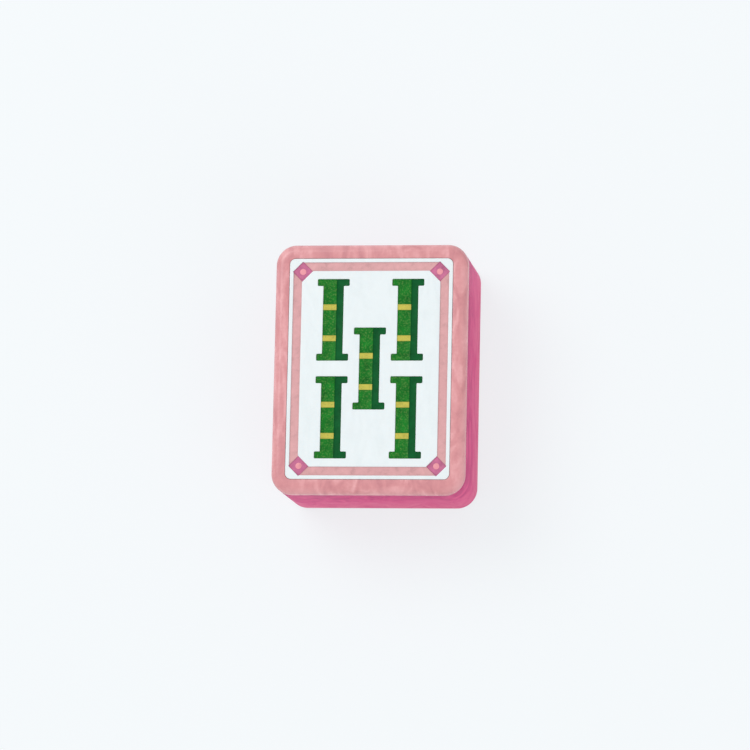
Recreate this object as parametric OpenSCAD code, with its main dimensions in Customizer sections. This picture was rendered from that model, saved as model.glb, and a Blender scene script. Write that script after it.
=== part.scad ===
// Mahjong tile, five of bamboos, built up from bonded coloured resin.
// A white face block stands in a rose tray. A salmon rim seats on the tray's wall
// and laps over the block's shoulder. The frame line, the corner diamonds and the
// bamboos are cut into the block with a small round cutter and filled with paint.
// The tile lies on its back: X is its width, Y its height and Z its depth, with
// the face up and the origin at the middle of the back.

/* [Tile] */
// Width of the tile
tile_width = 23.5; // [22.5:0.5:32]
// Height of the tile
tile_height = 30.5; // [29:0.5:42]
// Depth of the tile, from its back to its face
tile_depth = 15; // [10:0.5:22]
// Radius of the four corners, seen from the front
corner_radius = 2.5; // [2.2:0.1:4]
// Rounding of the edges round the front and the back
edge_radius = 1; // [0.4:0.1:1.5]

/* [Tray and rim] */
// Thickness of the tray's wall
tray_wall = 1.25; // [1:0.05:1.4]
// Thickness of the tray's floor
tray_floor = 2.2; // [1.5:0.1:4]
// Rounding between the tray's floor and its wall, inside
tray_fillet = 0.6; // [0.3:0.05:0.7]
// Depth of the rim, from its seat on the tray to the face
rim_depth = 1.6; // [1.6:0.1:3]
// Width of the block's shoulder, which the rim laps over
shoulder = 0.5; // [0.3:0.05:0.7]
// Gap that the cement fills between bonded pieces
bond_gap = 0.04; // [0.02:0.01:0.08]

/* [Engraving] */
// Depth of the engraving below the face
engrave_depth = 0.6; // [0.5:0.05:1]
// How far the paint lies below the face
paint_sink = 0.16; // [0.1:0.02:0.2]
// Radius that the cutter leaves in each corner of the engraving
cutter_radius = 0.15; // [0.1:0.01:0.2]

/* [Frame line and diamonds] */
// White strip left between the rim and the frame line
border_strip = 0.5; // [0.3:0.05:0.8]
// Width of the frame line
line_width = 1.05; // [0.6:0.05:1.2]
// Size of a corner diamond from tip to tip
diamond_size = 2.5; // [2:0.05:2.7]
// How far a diamond's outer tips stand out past the frame line
diamond_reach = 0.1; // [0.04:0.02:0.16]
// Diameter of the pale heart of a diamond
heart_diameter = 0.75; // [0.5:0.05:1.1]

/* [Bamboos] */
// Clear strip between the frame line and the caps at its top and bottom
end_margin = 1; // [0.7:0.05:2]
// Clear strip between the frame line and the caps at its sides
side_margin = 1.95; // [1.5:0.05:2.5]
// Gap between an upper bamboo and the one below it
row_gap = 1.9; // [1.2:0.1:2.4]
// Gap between the middle bamboo's cap and the shafts beside it
column_gap = 1.35; // [1:0.05:1.6]
// How far a cap stands out from its shaft on each side
cap_overhang = 0.7; // [0.4:0.05:0.9]
// Height of a cap
cap_height = 0.85; // [0.7:0.05:1.1]
// Share of a shaft's width that its dark side takes
shade_share = 0.34; // [0.25:0.01:0.45]
// Height of a yellow joint band
band_height = 0.7; // [0.5:0.05:0.9]
// Upper joint band, above the middle of the bamboo
upper_band = 1.55; // [1:0.05:2.5]
// Lower joint band, below the middle of the bamboo
lower_band = 2.25; // [1.5:0.05:2.8]
// Thickness of a band, which is laid into the green
band_depth = 0.2; // [0.1:0.01:0.2]

/* [Hidden] */
$fn = 48;
overrun = 1; // how far a cut runs past the surface that it opens
rose = "#CB688C";
salmon = "#E2A0A2";
white = "#F1F5F6";
leaf_green = "#2F7F3C";
dark_green = "#0E5F35";
yellow = "#DCC957";

rim_width = tray_wall + shoulder;
seat_z = tile_depth - rim_depth; // where the rim seats on the tray's wall
window = [tile_width - 2 * rim_width, tile_height - 2 * rim_width];
window_radius = corner_radius - rim_width;

line_outer = window / 2 - [border_strip, border_strip]; // frame line's outer edges
line_middle = line_outer - [line_width, line_width] / 2;
diamond_inset = diamond_size / 2 - diamond_reach;
diamond_at = line_outer - [diamond_inset, diamond_inset];

// Room that the figure has between the frame line's inner edges, from the middle out
figure_half = line_outer - [line_width + side_margin, line_width + end_margin];
// From the middle out, that width takes half a cap, the column gap, half a shaft and half
// a cap, and each cap is a shaft with its two overhangs: one and a half shafts in all
shaft_width = (figure_half.x - column_gap - 2 * cap_overhang) / 1.5;
cap_width = shaft_width + 2 * cap_overhang;
shade_width = shade_share * shaft_width;
bamboo_length = figure_half.y - row_gap / 2;
bamboo_at = figure_half - [cap_width, bamboo_length] / 2;

// sides of the tile that a run of the frame line lies along
SIDES = ["top", "bottom", "left", "right"];
// the four corners, each with its signs along X and Y, and then the middle
PLACES = [
    ["top_left", [-1, 1]],
    ["top_right", [1, 1]],
    ["bottom_left", [-1, -1]],
    ["bottom_right", [1, -1]],
    ["middle", [0, 0]]
];
CORNERS = [for (i = [0:3]) PLACES[i]];
// the two joint bands, each with its height on the bamboo
BANDS = [["upper_band", upper_band], ["lower_band", -lower_band]];
PAINTS = ["green", "shade", "upper_band", "lower_band"];

// Rounded rectangle about the origin, from two bars and four round corners
module rounded_rectangle(size, radius) {
    square([size.x - 2 * radius, size.y], center = true);
    square([size.x, size.y - 2 * radius], center = true);
    for (x = [-1, 1], y = [-1, 1])
        translate([x * (size.x / 2 - radius), y * (size.y / 2 - radius)])
            circle(radius);
}

// Section through a slab that stands on y = 0, with its two lower edges rounded
module slab_section(width, depth, radius) {
    translate([-width / 2, radius])
        square([width, depth - radius]);
    intersection() {
        translate([-width / 2, 0])
            square([width, depth]);
        section_foot(width, radius);
    }
}

// Foot of that section: a flat between two round edges
module section_foot(width, radius) {
    translate([-width / 2 + radius, 0])
        square([width - 2 * radius, 2 * radius]);
    for (x = [-1, 1])
        translate([x * (width / 2 - radius), radius])
            circle(radius);
}

// Slab with round corners, standing on z = 0 with its lower edge rounded all round:
// a quarter turn of the section at each corner, and the section run along each side
module rounded_slab(size, depth, corner, radius) {
    run = [size.x - 2 * corner, size.y - 2 * corner];
    rotate([90, 0, 0])
        linear_extrude(run.y, center = true)
            slab_section(size.x, depth, radius);
    rotate([90, 0, 90])
        linear_extrude(run.x, center = true)
            slab_section(size.y, depth, radius);
    for (x = [-1, 1], y = [-1, 1])
        translate([x * run.x / 2, y * run.y / 2, 0])
            rotate_extrude()
                intersection() {
                    slab_section(2 * corner, depth, radius);
                    square([corner, depth]);
                }
}

// One run of the frame line, from the middle of one diamond to the next
module line_outline(side) {
    upright = side == "left" || side == "right";
    sign = side == "top" || side == "right" ? 1 : -1;
    at = upright ? [line_middle.x, 0] : [0, line_middle.y];
    translate(sign * at)
        square(upright ? [line_width, 2 * diamond_at.y] : [2 * diamond_at.x, line_width], center = true);
}

// One corner diamond, in the corner that these signs point to, its tips left sharp
module diamond_outline(signs) {
    translate([signs.x * diamond_at.x, signs.y * diamond_at.y])
        rotate(45)
            square(diamond_size / sqrt(2), center = true);
}

module heart_outline(signs) {
    translate([signs.x * diamond_at.x, signs.y * diamond_at.y])
        circle(d = heart_diameter);
}

// A bamboo about the origin: a shaft between the middles of two wider caps
module bamboo_outline() {
    cap_at = (bamboo_length - cap_height) / 2;
    square([shaft_width, 2 * cap_at], center = true);
    for (y = [-1, 1])
        translate([0, y * cap_at])
            rounded_rectangle([cap_width, cap_height], cutter_radius);
}

// Everything right of the line where a bamboo's dark side starts
module shade_side() {
    translate([shaft_width / 2 - shade_width, -bamboo_length])
        square([cap_width, 2 * bamboo_length]);
}

// Everything left of that line
module lit_side() {
    translate([shaft_width / 2 - shade_width - cap_width, -bamboo_length])
        square([cap_width, 2 * bamboo_length]);
}

// A joint band at this height, across the lit side of the shaft
module band_outline(y) {
    intersection() {
        bamboo_outline();
        lit_side();
        translate([-shaft_width, y - band_height / 2])
            square([2 * shaft_width, band_height]);
    }
}

// A cut with this outline, down into the face from above it
module engraving() {
    translate([0, 0, tile_depth - engrave_depth])
        linear_extrude(engrave_depth + overrun)
            children();
}

// Paint with this outline, from the engraving's floor up to just below the face
module paint() {
    translate([0, 0, tile_depth - engrave_depth])
        linear_extrude(engrave_depth - paint_sink)
            children();
}

// Top layer of the paint, as thick as a joint band, from its surface or from above it
module band_layer(above = 0) {
    translate([0, 0, tile_depth - paint_sink - band_depth])
        linear_extrude(band_depth + above)
            children();
}

module at_bamboo(signs) {
    translate([signs.x * bamboo_at.x, signs.y * bamboo_at.y, 0])
        children();
}

// Rose tray: the back, the sides and the wall that the rim seats on
module back_tray() {
    inner = [tile_width - 2 * tray_wall, tile_height - 2 * tray_wall];
    color(rose)
        difference() {
            rounded_slab([tile_width, tile_height], seat_z, corner_radius, edge_radius);
            translate([0, 0, tray_floor])
                rounded_slab(inner, tile_depth, corner_radius - tray_wall, tray_fillet);
        }
}

// Salmon rim: rounded over outside, with the window that the face shows through
module front_rim() {
    color(salmon)
        difference() {
            translate([0, 0, tile_depth])
                mirror([0, 0, 1])
                    rounded_slab([tile_width, tile_height], rim_depth, corner_radius, edge_radius);
            translate([0, 0, seat_z - overrun])
                linear_extrude(rim_depth + 2 * overrun)
                    rounded_rectangle(window, window_radius);
        }
}

// White face block: its foot fills the tray, its shoulder is under the rim, and its
// raised field stands in the rim's window, flush with it and engraved
module face_block() {
    slack = tray_wall + bond_gap;
    foot = [tile_width - 2 * slack, tile_height - 2 * slack];
    field = window - [2 * bond_gap, 2 * bond_gap];
    color(white)
        difference() {
            union() {
                translate([0, 0, tray_floor])
                    rounded_slab(
                        foot, seat_z - bond_gap - tray_floor,
                        corner_radius - slack, tray_fillet
                    );
                translate([0, 0, tray_floor + tray_fillet])
                    linear_extrude(tile_depth - tray_floor - tray_fillet)
                        rounded_rectangle(field, window_radius - bond_gap);
            }
            engraving() {
                for (side = SIDES)
                    line_outline(side);
                for (c = CORNERS)
                    diamond_outline(c[1]);
                for (p = PLACES)
                    at_bamboo(p[1])
                        bamboo_outline();
            }
        }
}

module frame_line(side) {
    color(salmon)
        paint()
            difference() {
                line_outline(side);
                for (c = CORNERS)
                    diamond_outline(c[1]);
            }
}

module diamond(signs) {
    color(rose)
        paint()
            difference() {
                diamond_outline(signs);
                heart_outline(signs);
            }
}

module diamond_heart(signs) {
    color(salmon)
        paint()
            heart_outline(signs);
}

// Green fill of a bamboo's lit side, with a shallow seat for each joint band
module bamboo_green(signs) {
    color(leaf_green)
        at_bamboo(signs)
            difference() {
                paint()
                    intersection() {
                        bamboo_outline();
                        lit_side();
                    }
                for (band = BANDS)
                    band_layer(overrun)
                        band_outline(band[1]);
            }
}

module bamboo_shade(signs) {
    color(dark_green)
        at_bamboo(signs)
            paint()
                intersection() {
                    bamboo_outline();
                    shade_side();
                }
}

module bamboo_band(signs, y) {
    color(yellow)
        at_bamboo(signs)
            band_layer()
                band_outline(y);
}

back_tray();
front_rim();
face_block();
for (side = SIDES)
    frame_line(side);
for (c = CORNERS) {
    diamond(c[1]);
    diamond_heart(c[1]);
}
for (p = PLACES) {
    bamboo_green(p[1]);
    bamboo_shade(p[1]);
    for (band = BANDS)
        bamboo_band(p[1], band[1]);
}
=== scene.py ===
import math

import bmesh
import bpy
import numpy as np
from bpy.props import FloatProperty, FloatVectorProperty, IntProperty, PointerProperty
from mathutils import Matrix, Vector
from mathutils.geometry import delaunay_2d_cdt


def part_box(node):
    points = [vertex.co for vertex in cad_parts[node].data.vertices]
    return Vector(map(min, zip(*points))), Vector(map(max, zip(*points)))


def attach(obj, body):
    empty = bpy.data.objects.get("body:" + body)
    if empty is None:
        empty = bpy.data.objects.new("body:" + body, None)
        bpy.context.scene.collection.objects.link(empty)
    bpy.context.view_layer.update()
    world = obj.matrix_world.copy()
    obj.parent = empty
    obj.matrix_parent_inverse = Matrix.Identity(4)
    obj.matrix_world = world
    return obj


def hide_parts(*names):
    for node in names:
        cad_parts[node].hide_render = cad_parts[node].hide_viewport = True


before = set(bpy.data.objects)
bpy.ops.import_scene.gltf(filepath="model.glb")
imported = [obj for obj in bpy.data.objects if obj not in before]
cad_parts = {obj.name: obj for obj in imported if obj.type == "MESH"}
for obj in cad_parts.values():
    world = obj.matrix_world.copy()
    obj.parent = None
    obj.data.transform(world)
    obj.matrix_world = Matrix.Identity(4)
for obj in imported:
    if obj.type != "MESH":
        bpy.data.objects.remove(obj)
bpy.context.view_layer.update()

bl_info = {
    "name": "Bamboo Tile",
    "version": (1, 0, 0),
    "blender": (4, 5, 0),
    "location": "View3D > Sidebar > Tile",
    "description": "Dresses a five-of-bamboos tile in resin and paint round its CAD frame",
    "category": "Object",
}

# A millimetre in Blender's metres
MM = 0.001

# Points on an arc: a rounded outer edge, a softened seam or lip, a corner of the engraving or
# of a fill, and a quarter of a heart
EDGE_STEPS = 14
SEAM_STEPS = 5
CUT_STEPS = 7
HEART_STEPS = 9

# Lines across the strip where paint climbs, and from the edge to the top of a heart's dome
CLIMB_STEPS = 6
DOME_STEPS = 7

# How far beside a rounded edge the line lies that holds the next face flat: on the tray, on
# the field's border and on the polished face round an engraved lip
TRAY_HOLD = 0.3 * MM
FIELD_HOLD = 0.05 * MM
LIP_HOLD = 0.04 * MM

# Corner radii: of the frame channel where a diamond leaves it and at the diamond's tip, of the
# ends of a painted run, of a painted diamond, of a band, and where a bamboo's two greens meet
NOTCH_RADIUS = 0.03 * MM
TIP_RADIUS = 0.08 * MM
RUN_RADIUS = 0.02 * MM
DIAMOND_RADIUS = 0.06 * MM
BAND_RADIUS = 0.04 * MM
MEET_RADIUS = 0.01 * MM

# A heart's dome covers this share of its radius, and its sides reach this share of its lift
DOME_SHARE = 0.86
SIDE_SHARE = 0.4

# Points closer than the first are merged, and edges shorter than the second are dissolved
WELD = 0.0003 * MM
SLIVER = 0.0001 * MM

# The Delaunay call's own settings: its mode that fills the whole hull of its points, and how
# close, in millimetres, two points are the same
WHOLE_HULL = 0
SAME_POINT = 1e-6

# Swells a metre in the patches of worn edges with their painted highlight, of hairlines and of rubbed resin
WORN_HIGHLIGHT_SCALE = 300.0
SCORED_SCALE = 110.0
RUBBED_SCALE = 140.0

# The two sets of hairlines: each one's turn in the face's plane, in radians, and its swells a
# metre across the lines
HAIRLINE_SETS = ((0.5, 7000), (-0.9, 5500))

# How many times finer the resin's grain is than its swirl, and the paint's flecks than its
# patches
RESIN_FINENESS = 7.0
PAINT_FINENESS = 6.0

# How far the swirl goes from its mean to the pure pale or the pure deep tone
TONE_REACH = 0.28

# How much rougher a rubbed patch and a hairline are, and a hairline's share of the deep tone,
# which is its depth in the grain's height too
RUB_ROUGHNESS = 0.16
LINE_ROUGHNESS = 0.2
LINE_SHARE = 0.5

# Where the lamps stand, in metres from the middle of the tile's back
KEY_PLACE = (-0.35, 0.3, 0.6)
FILL_PLACE = (0.4, -0.45, 0.35)

# The even light's cool tone, and the white that the camera sees beyond the table
SKY_TONE = (0.96, 0.98, 1.0, 1.0)
WHITE_TONE = (1.0, 1.0, 1.0, 1.0)


# Measures of the CAD nodes


def reach(node):
    """Lowest and highest corner of a CAD node, as arrays."""
    low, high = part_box(node)
    return np.array(low), np.array(high)


def plan(node):
    """Middle and half size of a CAD node, seen from the front."""
    low, high = reach(node)
    return (low + high)[:2] / 2, (high - low)[:2] / 2


# The tile's half width and half length, and the heights of its face, of the seam between rim
# and tray, and of the tray's floor
RIM = reach("front_rim")
HALF = RIM[1][:2]
FACE_Z = RIM[1][2]
SEAM_Z = RIM[0][2]
FLOOR_Z = reach("face_block")[0][2]

# Half sizes of the frame line's outer and inner edge, and the heights of the engraving's bed
# and of the paint in it
LINE_LEFT = reach("frame_line_left")
LINE_TOP = reach("frame_line_top")
LINE_OUTER = np.array([-LINE_LEFT[0][0], LINE_TOP[1][1]])
LINE_INNER = np.array([-LINE_LEFT[1][0], LINE_TOP[0][1]])
BED_Z = LINE_LEFT[0][2]
PAINT_Z = LINE_LEFT[1][2]

# The top right diamond's middle, and a diamond's half width
DIAMOND_MIDDLE, DIAMOND_SPAN = plan("diamond_top_right")
DIAMOND_HALF = DIAMOND_SPAN[0]

# About the middle bamboo's middle: its half width at the caps and along the shaft, where its
# dark side begins, and its half length
GREEN = reach("bamboo_middle_green")
SHADE = reach("bamboo_middle_shade")
CAP_X = (SHADE[1][0] - GREEN[0][0]) / 2
SHAFT_X = -reach("bamboo_middle_upper_band")[0][0]
SHADE_X = SHADE[0][0]
BAMBOO_Y = GREEN[1][1]

# The sides on which a corner's diamond lies, and the places of the bamboos
CORNERS = {"top_left": (-1, 1), "top_right": (1, 1), "bottom_left": (-1, -1), "bottom_right": (1, -1)}
PLACES = [*CORNERS, "middle"]


# Sizes and colours


def srgb(red, green, blue):
    """A colour in 8-bit screen values, as the linear values that a shader takes: a straight
    line in the darkest tones, and above them a power of the offset share."""
    share = np.array([red, green, blue]) / 255
    return tuple(np.where(share <= 0.04045, share / 12.92, ((share + 0.055) / 1.055) ** 2.4))


def colour(name, description, default):
    """A colour that the user can change."""
    return FloatVectorProperty(
        name=name, description=description, subtype="COLOR", size=3, min=0, max=1, default=default
    )


def length(name, description, default):
    """A length in metres that the user can change."""
    return FloatProperty(
        name=name, description=description, unit="LENGTH", precision=5, min=0, default=default
    )


class TileSizes(bpy.types.PropertyGroup):
    """Sizes of the resin pieces and of the engraving"""

    corner_radius: length("Corner radius", "Radius of the tile's corners, seen from the front", 2.5 * MM)
    edge_radius: length("Edge radius", "Rounding of the edges round the front and the back", 1.0 * MM)
    tray_wall: length("Tray wall", "Thickness of the tray's wall", 1.25 * MM)
    tray_fillet: length("Tray fillet", "Rounding between the tray's floor and wall", 0.6 * MM)
    rim_width: length("Rim width", "Width of the rim, seen from the front", 1.75 * MM)
    bond_gap: length("Bond gap", "Gap between bonded pieces", 0.04 * MM)
    seam_round: length("Seam rounding", "Rounding of the two edges that meet at the seam", 0.07 * MM)
    window_round: length("Window rounding", "Rounding of the rim's and the field's edge", 0.06 * MM)
    engrave_depth: length("Engraving depth", "Depth of the engraving below the face", FACE_Z - BED_Z)
    lip_round: length("Lip rounding", "Rounding where the engraving meets the polished face", 0.06 * MM)
    wall_lean: length("Wall lean", "How far an engraved wall leans in on its way down", 0.05 * MM)
    cutter_radius: length("Cutter radius", "Radius of the corners of a bamboo's caps", 0.15 * MM)
    inside_radius: length("Inside radius", "Radius under a cap, and of the inner field's corners", 0.1 * MM)
    cap_height: length("Cap height", "Height of a bamboo's cap", 0.85 * MM)
    corner_steps: IntProperty(name="Corner steps", description="Points round a tile's corner", default=20)


class PaintSizes(bpy.types.PropertyGroup):
    """Sizes of the paint in the engraving"""

    sink: length("Paint sink", "How far the paint lies below the face", FACE_Z - PAINT_Z)
    climb: length("Climb", "How far the paint climbs where it meets a wall", 0.05 * MM)
    edge_width: length("Edge width", "Width of the strip over which the paint climbs", 0.12 * MM)
    brim_width: length("Brim width", "Width of the slope at the paint's very edge", 0.012 * MM)
    brim_height: length("Brim height", "Height of the slope at the paint's very edge", 0.015 * MM)
    band_proud: length("Band height", "How far a yellow band stands above the green", 0.03 * MM)
    band_climb: length("Band climb", "How far a yellow band's paint climbs at its edge", 0.02 * MM)
    heart_lift: length("Heart lift", "How far a heart's dome begins above the diamond", 0.01 * MM)
    heart_dome: length("Heart dome", "How far a heart's dome would rise to its middle", 0.07 * MM)


class TileColours(bpy.types.PropertyGroup):
    """Colours of the resins and paints"""

    # The rose tray's deep and pale tones also carry its painted shade near the face and painted light
    # towards the back
    rose: colour("Rose", "Resin of the tray", srgb(225, 91, 142))
    rose_dark: colour("Rose, dark", "Deep streaks in the tray's resin", srgb(184, 58, 114))
    rose_light: colour("Rose, light", "Pale streaks in the tray's resin", srgb(243, 134, 165))
    # The pale tones, here and for the rose, also give the worn edges their painted highlight
    salmon: colour("Salmon", "Resin of the rim", srgb(224, 152, 155))
    salmon_dark: colour("Salmon, dark", "Deep streaks in the rim's resin", srgb(206, 135, 141))
    salmon_light: colour("Salmon, light", "Pale streaks in the rim's resin", srgb(244, 180, 182))
    white: colour("White", "Resin of the face", srgb(240, 247, 248))
    line: colour("Frame line", "Paint of the frame line", srgb(222, 168, 169))
    diamond: colour("Diamond", "Paint of the corner diamonds", srgb(197, 111, 146))
    heart: colour("Heart", "Paint of the diamonds' hearts", srgb(240, 158, 168))
    green: colour("Green", "Paint of the bamboos' lit side", srgb(18, 114, 32))
    green_fleck: colour("Green, flecks", "Yellowish flecks in that paint", srgb(112, 156, 78))
    dark_green: colour("Dark green", "Paint of the bamboos' dark side", srgb(0, 86, 38))
    yellow: colour("Yellow", "Paint of the joint bands", srgb(204, 192, 84))
    yellow_fleck: colour("Yellow, flecks", "Greenish flecks in that paint", srgb(148, 164, 82))


class StageSettings(bpy.types.PropertyGroup):
    """Camera, lamps and table"""

    lens: FloatProperty(name="Lens", description="Focal length in millimetres", default=200, min=20)
    distance: length("Distance", "From the camera to the tile's face", 502 * MM)
    yaw: FloatProperty(
        name="Yaw", description="Camera's turn towards the tile's right side",
        subtype="ANGLE", default=math.radians(8.1),
    )
    pitch: FloatProperty(
        name="Pitch", description="Camera's turn towards the tile's foot",
        subtype="ANGLE", default=math.radians(8.7),
    )
    aim: FloatVectorProperty(
        name="Aim", description="Where the lens points, right of and above the face's middle",
        unit="LENGTH", size=2, default=(0.71 * MM, -0.8 * MM),
    )
    world_light: FloatProperty(name="World light", description="Strength of the even light", default=0.66)
    key_power: FloatProperty(name="Key light", description="Power of the main lamp", default=2.1)
    fill_power: FloatProperty(name="Fill light", description="Power of the lamp at the foot", default=0.8)
    lamp_size: length("Lamp size", "Width of each lamp's disk", 500 * MM)
    table_half: length("Table", "From the table's middle to its edges", 3000 * MM)
    table_drop: length("Table drop", "How far the table lies below the tile's back", 0.02 * MM)
    table_tone: colour("Table tone", "Colour of the table", srgb(246, 250, 252))
    glow: FloatProperty(
        name="Table's own share", description="Share of the table's plain colour in what the lens sees",
        default=0.76, min=0, max=1,
    )


# Surfaces


def ring(corners, radii, offset, steps):
    """One closed line round a polygon, moved outwards by offset, with each corner an arc. The
    radii are one for every corner or one for each.

    The unit normals of the two sides at a corner turn from one to the other through its
    angle, and their mitre leads from the corner to the moved corner. The arc's radius is the
    corner's radius plus the offset, or minus it at an inside corner, and never below zero.
    Its centre is the moved corner, brought back along the mitre by that radius, and each
    point is the centre plus the turning normal times the radius.
    """
    points = np.asarray(corners, float)
    after = np.roll(points, -1, axis=0) - points
    after /= np.linalg.norm(after, axis=1, keepdims=True)
    before = np.roll(after, 1, axis=0)
    turn = np.arctan2(before[:, 0] * after[:, 1] - before[:, 1] * after[:, 0], (before * after).sum(1))
    side = np.sign(turn)
    start = np.arctan2(-before[:, 0], before[:, 1])
    normal_before = np.stack([before[:, 1], -before[:, 0]], 1)
    normal_after = np.stack([after[:, 1], -after[:, 0]], 1)
    cosine = (normal_before * normal_after).sum(1, keepdims=True)
    mitre = (normal_before + normal_after) / (1 + cosine)
    radius = side * np.maximum(np.asarray(radii, float) + side * offset, 0)
    centre = points + (offset - radius)[:, None] * mitre
    angle = start[:, None] + np.linspace(0, 1, steps)[None, :] * turn[:, None]
    normal = np.stack([np.cos(angle), np.sin(angle)], 2)
    return (centre[:, None, :] + radius[:, None, None] * normal).reshape(-1, 2)


def swept(corners, radii, profile, steps, closed):
    """Grid of points and quads: the profile's (offset, height) pairs, each carried round the
    outline at its offset. The first index runs along the profile and the second round the
    line, which always closes. The profile closes too if it is said to be closed."""
    lines = np.array([ring(corners, radii, offset, steps) for offset, _ in profile])
    count, around = lines.shape[:2]
    heights = np.repeat([height for _, height in profile], around)
    last = count if closed else count - 1
    i, j = np.meshgrid(np.arange(last), np.arange(around), indexing="ij")
    k, m = (i + 1) % count, (j + 1) % around
    quads = np.stack([i * around + j, i * around + m, k * around + m, k * around + j], -1)
    return np.column_stack([lines.reshape(-1, 2), heights]), quads.reshape(-1, 4)


def arc(centre, radius, start, end, steps):
    """Points on a circle about the centre in the profile's plane, between two angles in
    degrees: the centre plus the radius times the angle's cosine and sine."""
    angle = np.radians(np.linspace(start, end, steps))
    return list(zip(centre[0] + radius * np.cos(angle), centre[1] + radius * np.sin(angle)))


def rectangle(half_x, half_y):
    """Corners of a rectangle about the origin, counter-clockwise."""
    return np.array([(-1, -1), (1, -1), (1, 1), (-1, 1)]) * (half_x, half_y)


def enclosed(places, starts, ends):
    """Which places lie inside the closed lines whose sides run from the starts to the ends: a
    ray from there to the right crosses an odd number of the sides. A side crosses the ray's
    level where its share of the way up is the level's share of its height."""
    x, y = places[:, :1], places[:, 1:]
    crosses = (starts[:, 1] > y) != (ends[:, 1] > y)
    with np.errstate(divide="ignore", invalid="ignore"):
        share = (y - starts[:, 1]) / (ends[:, 1] - starts[:, 1])
        at = starts[:, 0] + share * (ends[:, 0] - starts[:, 0])
    return (crosses & (x < at)).sum(axis=1) % 2 == 1


def new_object(name, data):
    """An object of this data, in the scene."""
    made = bpy.data.objects.new(name, data)
    bpy.context.scene.collection.objects.link(made)
    return made


class Surface:
    """Points, faces and an edge mark, gathered before they go into one mesh."""

    def __init__(self):
        self.points = []
        self.faces = []
        self.marks = []
        self.count = 0

    def add(self, points, faces, marks=None):
        """Takes in a patch, and counts its faces' indices on from the points before it."""
        self.points.append(points)
        self.faces += (np.asarray(faces) + self.count).tolist()
        self.marks.append(np.zeros(len(points)) if marks is None else marks)
        self.count += len(points)

    def carry(self, corners, radii, profile, steps, closed=False, marks=None):
        """Adds a profile carried round an outline, and returns its first and last rings. The
        marks are one for each point of the profile."""
        points, quads = swept(corners, radii, profile, steps, closed)
        around = len(points) // len(profile)
        self.add(points, quads, None if marks is None else np.repeat(marks, around))
        return points[:around], points[-around:]

    def cap(self, loop, up):
        """Closes a ring with one flat face."""
        order = np.arange(len(loop))
        self.add(loop, [order if up else order[::-1]])

    def fill(self, loops):
        """Fills the level space between an outer ring and the rings inside it: a Delaunay mesh
        of all the rings' points, of which the triangles whose middle is enclosed are kept."""
        points = np.vstack(loops)
        flat = points[:, :2] / MM
        order = np.arange(len(points))
        breaks = np.cumsum([len(loop) for loop in loops])[:-1]
        after = np.concatenate([np.roll(part, -1) for part in np.split(order, breaks)])
        sides = np.stack([order, after], 1).tolist()
        made = delaunay_2d_cdt(flat.tolist(), sides, [], WHOLE_HULL, SAME_POINT)
        corners, faces = np.array(made[0], float), np.array(made[2])
        faces = faces[enclosed(corners[faces].mean(axis=1), flat, flat[after])]
        height = np.full(len(corners), points[0, 2])
        self.add(np.column_stack([corners * MM, height]), faces)

    def build(self, name, sharp=40):
        """Makes the mesh's object. Edges that turn by more than sharp degrees stay crisp."""
        mesh = bpy.data.meshes.new(name)
        mesh.from_pydata(np.vstack(self.points).tolist(), [], self.faces)
        mark = mesh.attributes.new("edge_mark", "FLOAT", "POINT")
        mark.data.foreach_set("value", np.concatenate(self.marks).astype(np.float32))
        work = bmesh.new()
        work.from_mesh(mesh)
        bmesh.ops.remove_doubles(work, verts=work.verts, dist=WELD)
        bmesh.ops.dissolve_degenerate(work, dist=SLIVER, edges=work.edges)
        bmesh.ops.recalc_face_normals(work, faces=work.faces)
        work.to_mesh(mesh)
        work.free()
        mesh.shade_smooth()
        mesh.set_sharp_from_angle(angle=math.radians(sharp))
        return new_object(name, mesh)


# Shader groups


def new_group(name, inputs, outputs):
    """A shader node group with these named sockets, and its input and output nodes. A colour
    has no default, because each material gives its own."""
    group = bpy.data.node_groups.new(name, "ShaderNodeTree")
    for label, default in inputs.items():
        kind = "NodeSocketColor" if default is None else "NodeSocketFloat"
        socket = group.interface.new_socket(label, in_out="INPUT", socket_type=kind)
        if default is not None:
            socket.default_value = default
    for label in outputs:
        kind = "NodeSocketColor" if label == "Color" else "NodeSocketFloat"
        group.interface.new_socket(label, in_out="OUTPUT", socket_type=kind)
    return group, group.nodes.new("NodeGroupInput"), group.nodes.new("NodeGroupOutput")


def feed(tree, socket, value):
    """Sets a socket to a number or a colour, or links it to another node's output."""
    if isinstance(value, (int, float, tuple)):
        socket.default_value = value
    else:
        tree.links.new(value, socket)


def object_place(tree):
    """The place on the piece, in metres from the middle of the tile's back."""
    return tree.nodes.new("ShaderNodeTexCoord").outputs["Object"]


def edge_mark(tree):
    """The mesh's own mark, which is 1 on an exposed edge or where paint meets a wall."""
    node = tree.nodes.new("ShaderNodeAttribute")
    node.attribute_name = "edge_mark"
    return node.outputs["Fac"]


def stretched(tree, place, rotation, scale):
    """The place, scaled and turned, so that a pattern on it is drawn out."""
    node = tree.nodes.new("ShaderNodeMapping")
    node.inputs["Rotation"].default_value = rotation
    node.inputs["Scale"].default_value = scale
    feed(tree, node.inputs["Vector"], place)
    return node.outputs[0]


def noise(tree, place, scale, detail=2, roughness=0.5, distortion=0.0):
    """Smooth noise from 0 to 1, with about this many swells a metre."""
    node = tree.nodes.new("ShaderNodeTexNoise")
    node.inputs["Detail"].default_value = detail
    node.inputs["Roughness"].default_value = roughness
    node.inputs["Distortion"].default_value = distortion
    feed(tree, node.inputs["Scale"], scale)
    feed(tree, node.inputs["Vector"], place)
    return node.outputs["Fac"]


def spread(tree, value, low, high, to_low=0.0, to_high=1.0):
    """Maps the range from low to high onto another one, and stays within that."""
    node = tree.nodes.new("ShaderNodeMapRange")
    for label, number in (("From Min", low), ("From Max", high), ("To Min", to_low), ("To Max", to_high)):
        node.inputs[label].default_value = number
    feed(tree, node.inputs["Value"], value)
    return node.outputs["Result"]


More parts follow.
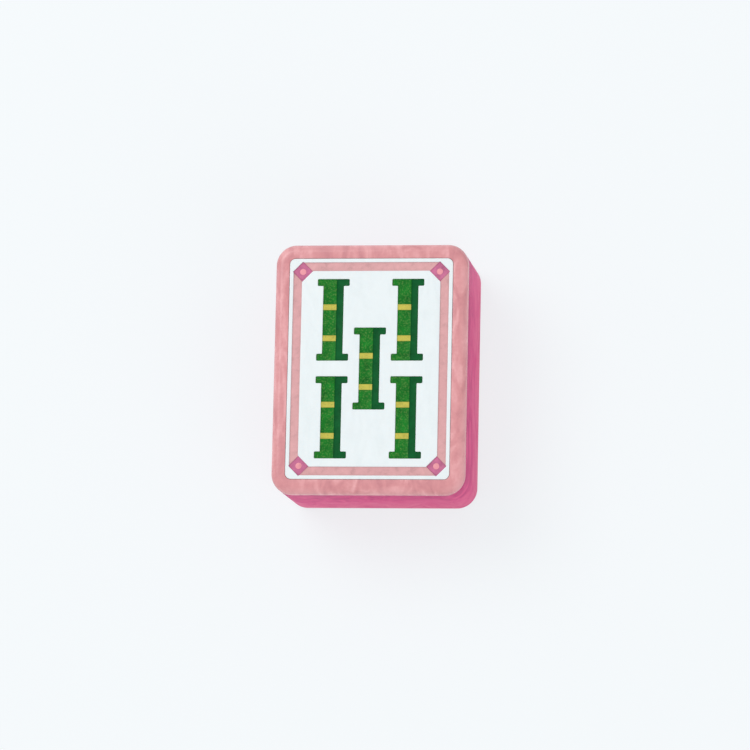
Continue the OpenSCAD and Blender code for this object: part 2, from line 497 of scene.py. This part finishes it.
def maths(tree, operation, first, second):
    """One sum, product or the like of two values."""
    node = tree.nodes.new("ShaderNodeMath")
    node.operation = operation
    feed(tree, node.inputs[0], first)
    feed(tree, node.inputs[1], second)
    return node.outputs[0]


def blend(tree, amount, first, second):
    """The first colour turned into the second by the amount."""
    node = tree.nodes.new("ShaderNodeMix")
    node.data_type = "RGBA"
    feed(tree, node.inputs[0], amount)
    feed(tree, node.inputs[6], first)
    feed(tree, node.inputs[7], second)
    return node.outputs[2]


def cast_resin_group():
    """Pearly cast resin: wisps of a pale and a deep tone in the base, drawn out one way and
    curled, like the swirl that is left when pigment is stirred into resin, and a fine grain.

    Painted shade and light: this much a metre is taken off the swirl above the tile's half
    depth and added below, so that the tone deepens towards the face and pales towards the
    back. The exposed edges, which the edge mark tells, get the pale tone in patches: wear,
    and with it a painted highlight along the rounded edge."""
    group, source, sink = new_group(
        "cast_resin",
        {
            "Base": None, "Pale": None, "Deep": None,
            "Scale": 600.0, "Strength": 1.0, "Settling": 0.0, "Wear": 0.0,
        },
        ["Color", "Height"],
    )
    given = source.outputs
    place = object_place(group)
    drawn = stretched(group, place, rotation=(0.3, 0.25, 0.6), scale=(1.0, 0.4, 0.7))
    cloud = noise(group, drawn, given["Scale"], distortion=2.2)
    fine = noise(group, place, maths(group, "MULTIPLY", given["Scale"], RESIN_FINENESS))
    mixed = maths(group, "ADD", cloud, spread(group, fine, 0.25, 0.75, to_low=-0.06, to_high=0.06))
    swirl = maths(group, "MULTIPLY", maths(group, "SUBTRACT", mixed, 0.5), given["Strength"])

    # Painted shade and light: the tone deepens towards the face and pales towards the back
    split = group.nodes.new("ShaderNodeSeparateXYZ")
    feed(group, split.inputs[0], place)
    above = maths(group, "SUBTRACT", split.outputs["Z"], FACE_Z / 2)
    shaded_swirl = maths(group, "SUBTRACT", swirl, maths(group, "MULTIPLY", above, given["Settling"]))
    tone = blend(group, spread(group, shaded_swirl, 0, TONE_REACH), given["Base"], given["Pale"])
    tone = blend(group, spread(group, shaded_swirl, 0, -TONE_REACH), tone, given["Deep"])

    # Paler patches on the exposed rounded edges: wear, and a painted highlight
    patches = spread(group, noise(group, place, WORN_HIGHLIGHT_SCALE, detail=3, roughness=0.55), 0.42, 0.6)
    worn = maths(group, "MULTIPLY", edge_mark(group), patches)
    tone = blend(group, maths(group, "MULTIPLY", worn, given["Wear"]), tone, given["Pale"])
    feed(group, sink.inputs["Color"], tone)
    feed(group, sink.inputs["Height"], fine)
    return group


def handling_group():
    """Marks of play, as masks from 0 to 1: a few long hairlines, which are the peaks of two
    noises drawn out along lines that cross, kept in patches, and softly rubbed places."""
    group, source, sink = new_group("handling", {"Amount": 1.0}, ["Hairlines", "Rub"])
    place = object_place(group)
    lines = []
    for turn, across in HAIRLINE_SETS:
        drawn = stretched(group, place, rotation=(0.2, 0.1, turn), scale=(90, across, 500))
        lines.append(spread(group, noise(group, drawn, 1.0, detail=1), 0.72, 0.78))
    patches = spread(group, noise(group, place, SCORED_SCALE, detail=1), 0.5, 0.62)
    hairlines = maths(group, "MULTIPLY", maths(group, "MAXIMUM", *lines), patches)
    rub = spread(group, noise(group, place, RUBBED_SCALE, detail=3, roughness=0.6), 0.35, 0.7)
    for label, mask in (("Hairlines", hairlines), ("Rub", rub)):
        feed(group, sink.inputs[label], maths(group, "MULTIPLY", mask, source.outputs["Amount"]))
    return group


def poured_paint_group():
    """Thick paint run into a groove: patchy pigment, flecks of a second pigment that didn't
    quite dissolve, and painted shade, a deeper tone where it meets the walls, which the edge mark tells."""
    group, source, sink = new_group(
        "poured_paint",
        {"Base": None, "Pale": None, "Deep": None, "Fleck": None, "Scale": 900.0},
        ["Color", "Height"],
    )
    given = source.outputs
    place = object_place(group)
    patch = noise(group, place, given["Scale"], detail=3, roughness=0.6, distortion=0.3)
    finer = maths(group, "MULTIPLY", given["Scale"], PAINT_FINENESS)
    grain = noise(group, place, finer, detail=3, roughness=0.6)
    flecks = spread(group, grain, 0.5, 0.74, to_high=0.7)
    # Painted shade: the paint is deeper in tone where it meets the groove's walls
    wall_shade = maths(group, "MULTIPLY", edge_mark(group), 0.5)
    tone = blend(group, spread(group, patch, 0.5, 0.72), given["Base"], given["Pale"])
    tone = blend(group, spread(group, patch, 0.46, 0.3), tone, given["Deep"])
    tone = blend(group, flecks, tone, given["Fleck"])
    tone = blend(group, wall_shade, tone, given["Deep"])
    feed(group, sink.inputs["Color"], tone)
    feed(group, sink.inputs["Height"], maths(group, "ADD", patch, maths(group, "MULTIPLY", grain, 0.4)))
    return group


GROUP_MAKERS = {
    "cast_resin": cast_resin_group,
    "handling": handling_group,
    "poured_paint": poured_paint_group,
}


# Materials


def start_material(name):
    """A new material, its node tree and its shader."""
    material = bpy.data.materials.new(name)
    material.use_nodes = True
    return material, material.node_tree, material.node_tree.nodes["Principled BSDF"]


def place_group(tree, name, **values):
    """Places a shader group, which is made the first time, with its inputs set to the values."""
    node = tree.nodes.new("ShaderNodeGroup")
    node.node_tree = bpy.data.node_groups.get(name) or GROUP_MAKERS[name]()
    for label, value in values.items():
        node.inputs[label].default_value = value
    return node


def opaque(tone):
    """A colour with full opacity, as a colour socket takes it."""
    return (*tone, 1.0)


def toned(tone, factor):
    """A colour made paler or deeper by a factor, and never more than white."""
    return tuple(min(1.0, part * factor) for part in tone)


def relief(tree, shader, height, strength, distance):
    """Bump from a height that varies over the surface."""
    bump = tree.nodes.new("ShaderNodeBump")
    bump.inputs["Strength"].default_value = strength
    bump.inputs["Distance"].default_value = distance
    feed(tree, bump.inputs["Height"], height)
    feed(tree, shader.inputs["Normal"], bump.outputs["Normal"])


def resin(name, base, pale, deep, scale, strength, rough, shine, play=0.5, shade_towards_face=0.0, wear_and_highlight=0.0,
          subsurface=0.0):
    """Polished cast resin with its swirl, faint orange peel and the marks of play. The
    hairlines are scored into it: deeper in tone, rougher and lower than the surface."""
    material, tree, shader = start_material(name)
    body = place_group(
        tree, "cast_resin", Base=opaque(base), Pale=opaque(pale), Deep=opaque(deep),
        Scale=scale, Strength=strength, Settling=shade_towards_face, Wear=wear_and_highlight,
    )
    marks = place_group(tree, "handling", Amount=play)
    hairlines = marks.outputs["Hairlines"]
    scored = maths(tree, "MULTIPLY", hairlines, LINE_SHARE)
    feed(tree, shader.inputs["Base Color"], blend(tree, scored, body.outputs["Color"], opaque(deep)))
    rubbed = maths(tree, "ADD", maths(tree, "MULTIPLY", marks.outputs["Rub"], RUB_ROUGHNESS), rough)
    worn = maths(tree, "ADD", rubbed, maths(tree, "MULTIPLY", hairlines, LINE_ROUGHNESS))
    feed(tree, shader.inputs["Roughness"], worn)
    height = maths(tree, "SUBTRACT", body.outputs["Height"], scored)
    relief(tree, shader, height, strength=0.12, distance=0.02 * MM)
    shader.inputs["IOR"].default_value = 1.5
    shader.inputs["Specular IOR Level"].default_value = shine
    if subsurface:
        shader.inputs["Subsurface Weight"].default_value = subsurface
        shader.inputs["Subsurface Radius"].default_value = (1.0, 0.9, 0.85)
        shader.inputs["Subsurface Scale"].default_value = 0.4 * MM
    return material


def paint(name, base, pale, deep, scale, rough=0.3, fleck=None):
    """Satin enamel that was poured into the engraving. Its pale and deep tones are factors on
    the base, and its flecks have the pale tone unless they are given one."""
    material, tree, shader = start_material(name)
    # The deep tone also paints the shade where the paint meets the walls
    body = place_group(
        tree, "poured_paint", Base=opaque(base), Pale=opaque(toned(base, pale)),
        Deep=opaque(toned(base, deep)), Fleck=opaque(fleck or toned(base, pale)), Scale=scale,
    )
    height = body.outputs["Height"]
    gloss = spread(tree, height, 0.3, 1.1, to_low=rough - 0.06, to_high=rough + 0.1)
    feed(tree, shader.inputs["Base Color"], body.outputs["Color"])
    feed(tree, shader.inputs["Roughness"], gloss)
    relief(tree, shader, height, strength=0.5, distance=0.03 * MM)
    shader.inputs["IOR"].default_value = 1.48
    shader.inputs["Specular IOR Level"].default_value = 0.13
    return material


def finish_piece(piece, material, node):
    """Gives a piece its material, sets it to ride on the root body, and hides the CAD node that it
    stands for."""
    piece.data.materials.append(material)
    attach(piece, "root")
    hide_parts(node)


# Pieces of resin


def exposed(profile, start):
    """Edge mark of each point of a tray's or rim's profile: along the rounded edge, whose
    arc begins at this point of the list, half a wave that peaks at the arc's middle."""
    marks = np.zeros(len(profile))
    marks[start:start + EDGE_STEPS] = np.sin(np.linspace(0, math.pi, EDGE_STEPS))
    return marks


class TILE_OT_tray(bpy.types.Operator):
    """Rose tray: a profile carried round the tile's outline, from the back over the rounded
    edge and up the side to the seam, then down the inner wall to the tray's floor"""

    bl_idname = "tile.tray"
    bl_label = "Tray"

    def execute(self, context):
        sizes, tones = context.scene.tile_sizes, context.scene.tile_colours
        edge, seam, wall, fillet = sizes.edge_radius, sizes.seam_round, sizes.tray_wall, sizes.tray_fillet
        back = [(-edge - TRAY_HOLD, 0.0)]
        profile = back + arc((-edge, edge), edge, -90, 0, EDGE_STEPS)
        profile += [(0.0, edge + TRAY_HOLD), (0.0, SEAM_Z - seam - TRAY_HOLD)]
        profile += arc((-seam, SEAM_Z - seam), seam, 0, 90, SEAM_STEPS)
        profile += [(-wall, SEAM_Z)]
        profile += arc((-wall - fillet, FLOOR_Z + fillet), fillet, 0, -90, SEAM_STEPS)
        surface = Surface()
        first, last = surface.carry(
            rectangle(*HALF), sizes.corner_radius, profile, sizes.corner_steps,
            marks=exposed(profile, len(back)),
        )
        surface.cap(first, up=False)
        surface.cap(last, up=True)
        # The rose resin is shaded by height: painted shade near the face, painted light towards the back
        look = resin(
            "rose_resin", tones.rose, tones.rose_light, tones.rose_dark,
            scale=330.0, strength=0.5, rough=0.42, shine=0.05, shade_towards_face=26.0, wear_and_highlight=0.5,
        )
        finish_piece(surface.build("tray"), look, "back_tray")
        return {"FINISHED"}


class TILE_OT_rim(bpy.types.Operator):
    """Salmon rim: one closed profile carried round the tile's outline, rounded over outside
    and softened at the seam and at the window"""

    bl_idname = "tile.rim"
    bl_label = "Rim"

    def execute(self, context):
        sizes, tones = context.scene.tile_sizes, context.scene.tile_colours
        edge, seam, window = sizes.edge_radius, sizes.seam_round, sizes.window_round
        inner = -sizes.rim_width
        seam_edge = arc((-seam, SEAM_Z + seam), seam, -90, 0, SEAM_STEPS)
        profile = seam_edge + arc((-edge, FACE_Z - edge), edge, 0, 90, EDGE_STEPS)
        profile += arc((inner + window, FACE_Z - window), window, 90, 180, SEAM_STEPS)
        profile += [(inner, SEAM_Z)]
        surface = Surface()
        surface.carry(
            rectangle(*HALF), sizes.corner_radius, profile, sizes.corner_steps,
            closed=True, marks=exposed(profile, len(seam_edge)),
        )
        # The rim's exposed edges turn paler in patches: wear, and a painted highlight
        look = resin(
            "salmon_resin", tones.salmon, tones.salmon_light, tones.salmon_dark,
            scale=420.0, strength=1.0, rough=0.22, shine=0.4, wear_and_highlight=0.4,
        )
        finish_piece(surface.build("rim"), look, "front_rim")
        return {"FINISHED"}


def four_times(quarter):
    """The top right corner's points, then the other three corners' by mirroring, so that the
    whole runs counter-clockwise."""
    flip_x, flip_y = np.array([-1, 1]), np.array([1, -1])
    return np.vstack([quarter, quarter[::-1] * flip_x, -quarter, quarter[::-1] * flip_y])


def channel_outer():
    """Corners of the frame channel's outer edge, with a radius for each: the line's edge, from
    which each diamond's two outer tips stand out, with slopes that rise as far as they run."""
    x, y = DIAMOND_MIDDLE
    edge = LINE_OUTER[0] - x
    step = DIAMOND_HALF - edge
    quarter = np.array([
        (x + edge, y - step), (x + DIAMOND_HALF, y), (x, y + DIAMOND_HALF), (x - step, y + edge),
    ])
    return four_times(quarter), [NOTCH_RADIUS, TIP_RADIUS, TIP_RADIUS, NOTCH_RADIUS] * len(CORNERS)


def channel_inner():
    """Corners of the white field inside the channel, each cut off by a diamond."""
    x, y = DIAMOND_MIDDLE
    return four_times(np.array([(LINE_INNER[0], y - DIAMOND_HALF), (x - DIAMOND_HALF, LINE_INNER[1])]))


def bamboo_middle(place):
    """The middle of one bamboo's outline, halfway between the lowest corner of its lit side
    and the highest of its dark side."""
    low, high = reach(f"bamboo_{place}_green")[0], reach(f"bamboo_{place}_shade")[1]
    return (low + high)[:2] / 2


def bamboo_outlines(sizes):
    """Corners about a bamboo's middle, counter-clockwise, and a radius for each: of the whole
    bamboo and of its two sides. The left half is the right one turned about the middle."""
    under = BAMBOO_Y - sizes.cap_height
    right = np.array([
        (CAP_X, -BAMBOO_Y), (CAP_X, -under), (SHAFT_X, -under),
        (SHAFT_X, under), (CAP_X, under), (CAP_X, BAMBOO_Y),
    ])
    cap, inside = sizes.cutter_radius, sizes.inside_radius
    radii = [cap, cap, inside, inside, cap, cap]
    foot, head = (SHADE_X, -BAMBOO_Y), (SHADE_X, BAMBOO_Y)
    side_radii = [MEET_RADIUS, *radii, MEET_RADIUS]
    return {
        "whole": (np.vstack([right, -right]), radii * 2),
        "green": (np.vstack([head, -right, foot]), side_radii),
        "shade": (np.vstack([foot, right, head]), side_radii),
    }


class TILE_OT_face(bpy.types.Operator):
    """White face block: its foot, shoulder and raised field are one profile carried round the
    tile's outline, and each engraved pocket is a lip, a leaning wall and a floor carried
    round its own outline, with the polished face filled in between"""

    bl_idname = "tile.face"
    bl_label = "Face block"

    def execute(self, context):
        sizes, tones = context.scene.tile_sizes, context.scene.tile_colours
        gap, fillet, lip, window = sizes.bond_gap, sizes.tray_fillet, sizes.lip_round, sizes.window_round
        foot, field, shoulder_z = -sizes.tray_wall - gap, -sizes.rim_width - gap, SEAM_Z - gap
        profile = arc((foot - fillet, FLOOR_Z + fillet), fillet, -90, 0, SEAM_STEPS)
        profile += [(foot, shoulder_z), (field, shoulder_z)]
        profile += arc((field - window, FACE_Z - window), window, 0, 90, SEAM_STEPS)
        profile += [(field - window - FIELD_HOLD, FACE_Z)]
        surface = Surface()
        first, border = surface.carry(rectangle(*HALF), sizes.corner_radius, profile, sizes.corner_steps)
        surface.cap(first, up=False)

        down = [(lip + LIP_HOLD, FACE_Z)]
        down += arc((lip, FACE_Z - lip), lip, 90, 180, SEAM_STEPS)
        down += [(-sizes.wall_lean, FACE_Z - sizes.engrave_depth)]
        inward = [(-offset, height) for offset, height in down]
        top_outer, floor_outer = surface.carry(*channel_outer(), down, CUT_STEPS)
        top_inner, floor_inner = surface.carry(channel_inner(), sizes.inside_radius, inward, CUT_STEPS)
        surface.fill([floor_outer, floor_inner])
        surface.fill([border, top_outer])

        corners, radii = bamboo_outlines(sizes)["whole"]
        mouths = []
        for place in PLACES:
            mouth, floor = surface.carry(corners + bamboo_middle(place), radii, down, CUT_STEPS)
            surface.cap(floor, up=True)
            mouths.append(mouth)
        surface.fill([top_inner] + mouths)
        look = resin(
            "white_resin", tones.white, pale=toned(tones.white, 1.03), deep=toned(tones.white, 0.955),
            scale=420.0, strength=0.8, rough=0.18, shine=0.45, play=0.25, subsurface=0.15,
        )
        finish_piece(surface.build("face_block_engraved"), look, "face_block")
        return {"FINISHED"}


# Paint in the engraving


def poured(name, corners, radii, coat, top, bed, climb):
    """Paint in a pocket: its surface climbs towards the edge by the square of the share of the
    edge strip that it has crossed, and its sides and bed close it below. The edge mark is that
    share."""
    share = np.linspace(1, 0, CLIMB_STEPS)
    inward = coat.brim_width + coat.edge_width * (1 - share)
    profile = [(0.0, bed), (0.0, top + climb - coat.brim_height)]
    profile += zip(-inward, top + climb * share ** 2)
    surface = Surface()
    first, last = surface.carry(corners, radii, profile, CUT_STEPS, marks=[1.0, 1.0, *share])
    surface.cap(first, up=False)
    surface.cap(last, up=True)
    return surface.build(name, sharp=50)


def heart(name, coat, top, bed):
    """The raised dot in a diamond, round because its corners' radius is its half width: its
    dome rises by its height times one less the square of the share of the way left to the
    middle."""
    middle, half = plan(f"diamond_heart_{name}")
    radius = half[0]
    share = np.linspace(0, DOME_SHARE, DOME_STEPS)
    dome = top + coat.heart_lift + coat.heart_dome * (1 - (1 - share) ** 2)
    profile = [(0.0, bed), (0.0, top + SIDE_SHARE * coat.heart_lift)]
    profile += zip(-radius * share, dome)
    surface = Surface()
    first, last = surface.carry(rectangle(radius, radius) + middle, radius, profile, HEART_STEPS)
    surface.cap(first, up=False)
    surface.cap(last, up=True)
    return surface.build(f"heart_{name}_dot", sharp=60)


def line_runs():
    """Corners of the frame line's four runs, whose ends follow the diamonds' slopes: on a
    slope, the way along the line from the diamond's middle is its half width less the way
    across. The bottom and left runs are the other two turned about the tile's middle."""
    x, y = DIAMOND_MIDDLE
    outer = DIAMOND_HALF - (LINE_OUTER - DIAMOND_MIDDLE)
    inner = DIAMOND_HALF - (LINE_INNER - DIAMOND_MIDDLE)
    top = np.array([
        (inner[1] - x, LINE_INNER[1]), (x - inner[1], LINE_INNER[1]),
        (x - outer[1], LINE_OUTER[1]), (outer[1] - x, LINE_OUTER[1]),
    ])
    right = np.array([
        (LINE_OUTER[0], outer[0] - y), (LINE_OUTER[0], y - outer[0]),
        (LINE_INNER[0], y - inner[0]), (LINE_INNER[0], inner[0] - y),
    ])
    return {"top": top, "right": right, "bottom": -top, "left": -right}


class TILE_OT_frame_paint(bpy.types.Operator):
    """Painted frame: four runs of the line with ends cut to the diamonds' slopes, the four
    diamonds and the raised dot at the heart of each"""

    bl_idname = "tile.frame_paint"
    bl_label = "Frame line and diamonds"

    def execute(self, context):
        sizes, coat = context.scene.tile_sizes, context.scene.tile_paint
        tones = context.scene.tile_colours
        top, bed = FACE_Z - coat.sink, FACE_Z - sizes.engrave_depth
        line_look = paint("line_paint", tones.line, pale=1.12, deep=0.85, scale=1000.0, rough=0.36)
        diamond_look = paint("diamond_paint", tones.diamond, pale=1.25, deep=0.75, scale=1000.0)
        heart_look = paint("heart_paint", tones.heart, pale=1.1, deep=0.85, scale=1200.0)
        for side, corners in line_runs().items():
            piece = poured(f"line_{side}", corners, RUN_RADIUS, coat, top, bed, coat.climb)
            finish_piece(piece, line_look, f"frame_line_{side}")
        points = DIAMOND_HALF * np.array([(1, 0), (0, 1), (-1, 0), (0, -1)])
        for name, signs in CORNERS.items():
            corners = DIAMOND_MIDDLE * signs + points
            piece = poured(f"diamond_{name}_paint", corners, DIAMOND_RADIUS, coat, top, bed, coat.climb)
            finish_piece(piece, diamond_look, f"diamond_{name}")
            dot = heart(name, coat, top, bed)
            finish_piece(dot, heart_look, f"diamond_heart_{name}")
        return {"FINISHED"}


class TILE_OT_bamboo_paint(bpy.types.Operator):
    """Painted bamboos: a green lit side, a dark green side and two yellow joint bands each,
    every one poured to its own outline"""

    bl_idname = "tile.bamboo_paint"
    bl_label = "Bamboos"

    def execute(self, context):
        sizes, coat = context.scene.tile_sizes, context.scene.tile_paint
        tones = context.scene.tile_colours
        top, bed = FACE_Z - coat.sink, FACE_Z - sizes.engrave_depth
        outlines = bamboo_outlines(sizes)
        green_look = paint(
            "green_paint", tones.green, pale=1.35, deep=0.7, scale=800.0, fleck=tones.green_fleck
        )
        dark_look = paint("dark_green_paint", tones.dark_green, pale=1.3, deep=0.75, scale=800.0)
        yellow_look = paint(
            "yellow_paint", tones.yellow, pale=1.12, deep=0.8, scale=1000.0, fleck=tones.yellow_fleck
        )
        sides = (("green", green_look, "green_paint"), ("shade", dark_look, "dark_green_paint"))
        for place in PLACES:
            for side, look, slot_name in sides:
                corners, radii = outlines[side]
                corners = corners + bamboo_middle(place)
                piece = poured(f"{place}_{side}", corners, radii, coat, top, bed, coat.climb)
                finish_piece(piece, look, f"bamboo_{place}_{side}")
            for band in ("upper_band", "lower_band"):
                node = f"bamboo_{place}_{band}"
                middle, half = plan(node)
                piece = poured(
                    f"{place}_{band}", rectangle(*half) + middle, BAND_RADIUS, coat,
                    top + coat.band_proud, reach(node)[0][2], coat.band_climb,
                )
                finish_piece(piece, yellow_look, node)
        return {"FINISHED"}


# Stage


def mix_for_camera(tree, share, elsewhere, seen, out):
    """What the camera sees is the second shader by this share, and every other ray meets the
    first one."""
    rays = tree.nodes.new("ShaderNodeLightPath")
    mix = tree.nodes.new("ShaderNodeMixShader")
    feed(tree, mix.inputs[0], maths(tree, "MULTIPLY", rays.outputs["Is Camera Ray"], share))
    feed(tree, mix.inputs[1], elsewhere.outputs[0])
    feed(tree, mix.inputs[2], seen.outputs[0])
    feed(tree, out.inputs["Surface"], mix.outputs[0])


def make_table(stage):
    """A pale table a hair below the tile, so that its top isn't in the plane of the tile's
    back. It is lit in part and plain in part, which keeps both the shadow and the colour."""
    mesh = bpy.data.meshes.new("table")
    corners = rectangle(stage.table_half, stage.table_half)
    points = np.column_stack([corners, np.full(len(corners), -stage.table_drop)])
    mesh.from_pydata(points.tolist(), [], [range(len(corners))])
    material, tree, shader = start_material("table_top")
    shader.inputs["Base Color"].default_value = opaque(stage.table_tone)
    shader.inputs["Roughness"].default_value = 0.8
    shader.inputs["Specular IOR Level"].default_value = 0.2
    plain_tone = tree.nodes.new("ShaderNodeEmission")
    plain_tone.inputs["Color"].default_value = opaque(stage.table_tone)
    mix_for_camera(tree, stage.glow, shader, plain_tone, tree.nodes["Material Output"])
    mesh.materials.append(material)
    new_object("table", mesh)


def background(tree, tone, strength):
    """A world shader of one tone."""
    node = tree.nodes.new("ShaderNodeBackground")
    node.inputs["Color"].default_value = tone
    node.inputs["Strength"].default_value = strength
    return node


def make_world(stage):
    """Even light from all round, which is plain white where the camera sees it."""
    world = bpy.data.worlds.new("studio")
    bpy.context.scene.world = world
    world.use_nodes = True
    tree = world.node_tree
    tree.nodes.clear()
    even = background(tree, SKY_TONE, stage.world_light)
    seen = background(tree, WHITE_TONE, 1.0)
    mix_for_camera(tree, 1.0, even, seen, tree.nodes.new("ShaderNodeOutputWorld"))


def make_lamp(name, power, size, place):
    """A round lamp of this width, turned towards the middle of the tile's back."""
    light = bpy.data.lights.new(name, "AREA")
    light.shape = "DISK"
    light.energy = power
    light.size = size
    lamp = new_object(name, light)
    lamp.location = place
    lamp.rotation_euler = Vector(place).to_track_quat("Z", "Y").to_euler()
    return lamp


def make_camera(stage):
    """A camera that looks along a line turned from the face's normal by yaw and pitch, with
    the tile upright in its picture."""
    camera = bpy.data.cameras.new("camera")
    camera.lens = stage.lens
    camera.sensor_width = 36
    camera.clip_start = 0.01
    camera.clip_end = 50
    yaw, pitch = stage.yaw, stage.pitch
    back = Vector((math.sin(yaw) * math.cos(pitch), -math.sin(pitch), math.cos(yaw) * math.cos(pitch)))
    right = (Vector((1, 0, 0)) - back * back.x).normalized()
    up = back.cross(right)
    target = Vector((0, 0, FACE_Z)) + right * stage.aim[0] + up * stage.aim[1]
    place = target + back * stage.distance
    holder = new_object("camera", camera)
    holder.matrix_world = Matrix((
        (right.x, up.x, back.x, place.x),
        (right.y, up.y, back.y, place.y),
        (right.z, up.z, back.z, place.z),
        (0, 0, 0, 1),
    ))
    bpy.context.scene.camera = holder


class TILE_OT_stage(bpy.types.Operator):
    """Pale table, even studio light and the camera above the tile's lower right"""

    bl_idname = "tile.stage"
    bl_label = "Stage"

    def execute(self, context):
        stage = context.scene.tile_stage
        make_table(stage)
        make_world(stage)
        make_lamp("key", stage.key_power, stage.lamp_size, KEY_PLACE)
        fill = make_lamp("fill", stage.fill_power, stage.lamp_size, FILL_PLACE)
        fill.visible_glossy = False
        make_camera(stage)
        context.scene.view_settings.view_transform = "Standard"
        return {"FINISHED"}


class TILE_PT_panel(bpy.types.Panel):
    """Lists the tile's pieces and the values they are made from"""

    bl_idname = "TILE_PT_panel"
    bl_label = "Bamboo Tile"
    bl_space_type = "VIEW_3D"
    bl_region_type = "UI"
    bl_category = "Tile"

    def draw(self, context):
        layout = self.layout
        for operator in OPERATORS:
            layout.operator(operator.bl_idname)
        for group in GROUPS:
            values = getattr(context.scene, group)
            box = layout.box()
            for name in values.bl_rna.properties.keys():
                if name not in ("rna_type", "name"):
                    box.prop(values, name)


OPERATORS = (
    TILE_OT_tray, TILE_OT_rim, TILE_OT_face, TILE_OT_frame_paint, TILE_OT_bamboo_paint, TILE_OT_stage
)
GROUPS = {
    "tile_sizes": TileSizes,
    "tile_paint": PaintSizes,
    "tile_colours": TileColours,
    "tile_stage": StageSettings,
}


def register():
    for name, group in GROUPS.items():
        bpy.utils.register_class(group)
        setattr(bpy.types.Scene, name, PointerProperty(type=group))
    for operator in OPERATORS:
        bpy.utils.register_class(operator)
    bpy.utils.register_class(TILE_PT_panel)


def unregister():
    bpy.utils.unregister_class(TILE_PT_panel)
    for operator in reversed(OPERATORS):
        bpy.utils.unregister_class(operator)
    for name, group in GROUPS.items():
        delattr(bpy.types.Scene, name)
        bpy.utils.unregister_class(group)


def main():
    """Makes the pieces and the stage."""
    register()
    bpy.ops.tile.tray()
    bpy.ops.tile.rim()
    bpy.ops.tile.face()
    bpy.ops.tile.frame_paint()
    bpy.ops.tile.bamboo_paint()
    bpy.ops.tile.stage()


if __name__ == "__main__":
    main()
